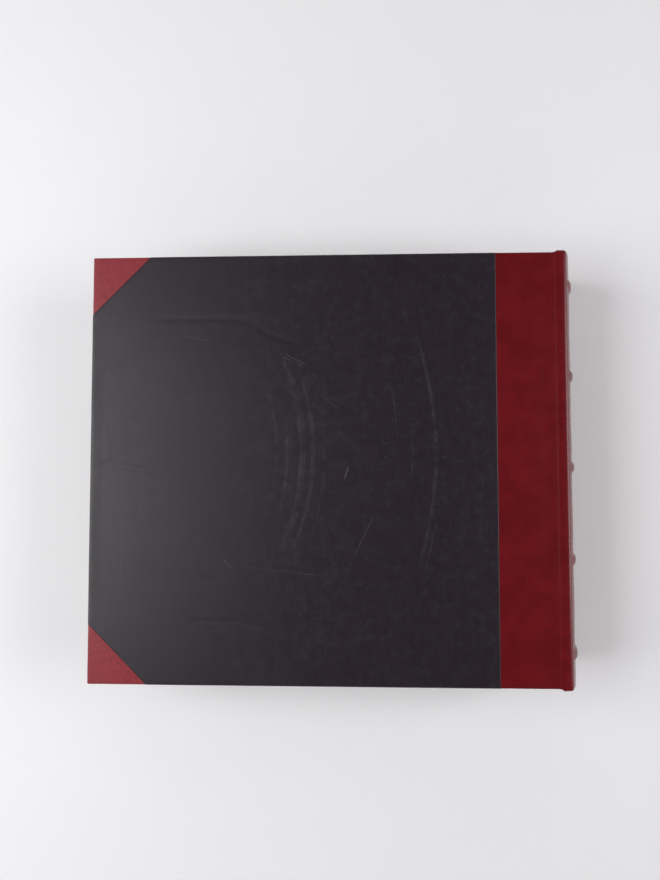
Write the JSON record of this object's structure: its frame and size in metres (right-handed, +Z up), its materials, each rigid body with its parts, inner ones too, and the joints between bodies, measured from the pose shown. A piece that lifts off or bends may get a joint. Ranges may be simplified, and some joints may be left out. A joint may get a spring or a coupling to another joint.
{
  "type": "scrapbook album",
  "caption": "Half-bound post album: rigid rounded spine with raised bands, hinged cloth-and-leather boards, and clear pocket leaves held on screw posts through hinge flaps.",
  "frame": {"origin": "centre of the footprint of the closed album, on the surface it lies on", "axes": "+X from the fore-edge to the spine, +Y to the head of the album, +Z up from the front cover to the back cover"},
  "size_m": [0.373, 0.327, 0.08],
  "materials": {
    "black_leatherette": "embossed bookcloth with a soft gloss",
    "red_leather": "smooth dyed leather with a soft gloss",
    "greyboard": "plain pressed paper board",
    "band_core": "plain pressed paper board",
    "joint_cloth": "woven book cloth",
    "endpaper": "matt laid paper",
    "white_strip": "matt moulded film",
    "spacer_foam": "matt foam board",
    "post_metal": "turned and polished",
    "clear_sleeve": "clear polypropylene film",
    "page_paper": "cream card stock"
  },
  "bodies": {
    "spine": {"spine_board": "greyboard", "spine_leather": "red_leather", "spine_lining": "endpaper", "raised_band_1": "band_core", "raised_band_2": "band_core", "raised_band_3": "band_core", "raised_band_4": "band_core", "raised_band_5": "band_core", "front_hinge_flap": "greyboard", "back_hinge_flap": "greyboard", "front_flap_hinge": "joint_cloth", "back_flap_hinge": "joint_cloth", "binding_strips": "white_strip", "page_spacers": "spacer_foam", "binding_post_1": "post_metal", "binding_post_2": "post_metal", "binding_post_3": "post_metal", "post_extensions": "post_metal"},
    "front_cover": {"front_cover_board": "greyboard", "front_cover_cloth": "black_leatherette", "front_leather_strip": "red_leather", "front_corner_head": "red_leather", "front_corner_tail": "red_leather", "front_endpaper": "endpaper"},
    "back_cover": {"back_cover_board": "greyboard", "back_cover_cloth": "black_leatherette", "back_leather_strip": "red_leather", "back_corner_head": "red_leather", "back_corner_tail": "red_leather", "back_endpaper": "endpaper"},
    "screw_1": {"post_screw_1": "post_metal"},
    "screw_2": {"post_screw_2": "post_metal"},
    "screw_3": {"post_screw_3": "post_metal"},
    "leaf_01": {"page_sleeve_01": "clear_sleeve", "page_01": "page_paper"},
    "leaf_02": {"page_sleeve_02": "clear_sleeve", "page_02": "page_paper"},
    "leaf_03": {"page_sleeve_03": "clear_sleeve", "page_03": "page_paper"},
    "leaf_04": {"page_sleeve_04": "clear_sleeve", "page_04": "page_paper"},
    "leaf_05": {"page_sleeve_05": "clear_sleeve", "page_05": "page_paper"},
    "leaf_06": {"page_sleeve_06": "clear_sleeve", "page_06": "page_paper"},
    "leaf_07": {"page_sleeve_07": "clear_sleeve", "page_07": "page_paper"},
    "leaf_08": {"page_sleeve_08": "clear_sleeve", "page_08": "page_paper"},
    "leaf_09": {"page_sleeve_09": "clear_sleeve", "page_09": "page_paper"},
    "leaf_10": {"page_sleeve_10": "clear_sleeve", "page_10": "page_paper"},
    "leaf_11": {"page_sleeve_11": "clear_sleeve", "page_11": "page_paper"},
    "leaf_12": {"page_sleeve_12": "clear_sleeve", "page_12": "page_paper"},
    "leaf_13": {"page_sleeve_13": "clear_sleeve", "page_13": "page_paper"}
  },
  "joints": [
    {"name": "back_cover_hinge", "type": "hinge", "parent": "spine", "child": "back_cover", "pos_m": [0.1663, 0, 0.08], "axis": [0, 1, 0], "range_deg": [0, 178]},
    {"name": "front_cover_hinge", "type": "hinge", "parent": "spine", "child": "front_cover", "pos_m": [0.1663, 0, 0], "axis": [0, -1, 0], "range_deg": [0, 178]},
    {"name": "post_screw_1_turn", "type": "hinge", "parent": "spine", "child": "screw_1", "pos_m": [0.1523, -0.13335, 0.07265], "axis": [0, 0, 1], "continuous": true},
    {"name": "post_screw_2_turn", "type": "hinge", "parent": "spine", "child": "screw_2", "pos_m": [0.1523, 0, 0.07265], "axis": [0, 0, 1], "continuous": true},
    {"name": "post_screw_3_turn", "type": "hinge", "parent": "spine", "child": "screw_3", "pos_m": [0.1523, 0.13335, 0.07265], "axis": [0, 0, 1], "continuous": true},
    {"name": "leaf_01_turn", "type": "hinge", "parent": "spine", "child": "leaf_01", "pos_m": [0.136, 0, 0.01098], "axis": [0, 1, 0], "range_deg": [0, 5.5]},
    {"name": "leaf_02_turn", "type": "hinge", "parent": "spine", "child": "leaf_02", "pos_m": [0.136, 0, 0.01574], "axis": [0, 1, 0], "range_deg": [0, 10.9]},
    {"name": "leaf_03_turn", "type": "hinge", "parent": "spine", "child": "leaf_03", "pos_m": [0.136, 0, 0.02049], "axis": [0, 1, 0], "range_deg": [0, 16.3]},
    {"name": "leaf_04_turn", "type": "hinge", "parent": "spine", "child": "leaf_04", "pos_m": [0.136, 0, 0.02525], "axis": [0, 1, 0], "range_deg": [0, 21.7]},
    {"name": "leaf_05_turn", "type": "hinge", "parent": "spine", "child": "leaf_05", "pos_m": [0.136, 0, 0.03001], "axis": [0, 1, 0], "range_deg": [0, 27.1]},
    {"name": "leaf_06_turn", "type": "hinge", "parent": "spine", "child": "leaf_06", "pos_m": [0.136, 0, 0.03477], "axis": [0, 1, 0], "range_deg": [0, 32.5]},
    {"name": "leaf_07_turn", "type": "hinge", "parent": "spine", "child": "leaf_07", "pos_m": [0.136, 0, 0.03952], "axis": [0, 1, 0], "range_deg": [0, 37.8]},
    {"name": "leaf_08_turn", "type": "hinge", "parent": "spine", "child": "leaf_08", "pos_m": [0.136, 0, 0.04428], "axis": [0, 1, 0], "range_deg": [0, 43.2]},
    {"name": "leaf_09_turn", "type": "hinge", "parent": "spine", "child": "leaf_09", "pos_m": [0.136, 0, 0.04904], "axis": [0, 1, 0], "range_deg": [0, 48.6]},
    {"name": "leaf_10_turn", "type": "hinge", "parent": "spine", "child": "leaf_10", "pos_m": [0.136, 0, 0.0538], "axis": [0, 1, 0], "range_deg": [0, 54]},
    {"name": "leaf_11_turn", "type": "hinge", "parent": "spine", "child": "leaf_11", "pos_m": [0.136, 0, 0.05855], "axis": [0, 1, 0], "range_deg": [0, 59.4]},
    {"name": "leaf_12_turn", "type": "hinge", "parent": "spine", "child": "leaf_12", "pos_m": [0.136, 0, 0.06331], "axis": [0, 1, 0], "range_deg": [0, 64.8]},
    {"name": "leaf_13_turn", "type": "hinge", "parent": "spine", "child": "leaf_13", "pos_m": [0.136, 0, 0.06807], "axis": [0, 1, 0], "range_deg": [0, 70.1]}
  ],
  "couplings": [
    {"joint": "leaf_01_turn", "follows": "back_cover_hinge", "ratio": 0.03025},
    {"joint": "leaf_02_turn", "follows": "back_cover_hinge", "ratio": 0.0605},
    {"joint": "leaf_03_turn", "follows": "back_cover_hinge", "ratio": 0.09075},
    {"joint": "leaf_04_turn", "follows": "back_cover_hinge", "ratio": 0.121},
    {"joint": "leaf_05_turn", "follows": "back_cover_hinge", "ratio": 0.15125},
    {"joint": "leaf_06_turn", "follows": "back_cover_hinge", "ratio": 0.1815},
    {"joint": "leaf_07_turn", "follows": "back_cover_hinge", "ratio": 0.21175},
    {"joint": "leaf_08_turn", "follows": "back_cover_hinge", "ratio": 0.24201},
    {"joint": "leaf_09_turn", "follows": "back_cover_hinge", "ratio": 0.27226},
    {"joint": "leaf_10_turn", "follows": "back_cover_hinge", "ratio": 0.30251},
    {"joint": "leaf_11_turn", "follows": "back_cover_hinge", "ratio": 0.33276},
    {"joint": "leaf_12_turn", "follows": "back_cover_hinge", "ratio": 0.36301},
    {"joint": "leaf_13_turn", "follows": "back_cover_hinge", "ratio": 0.39326}
  ]
}
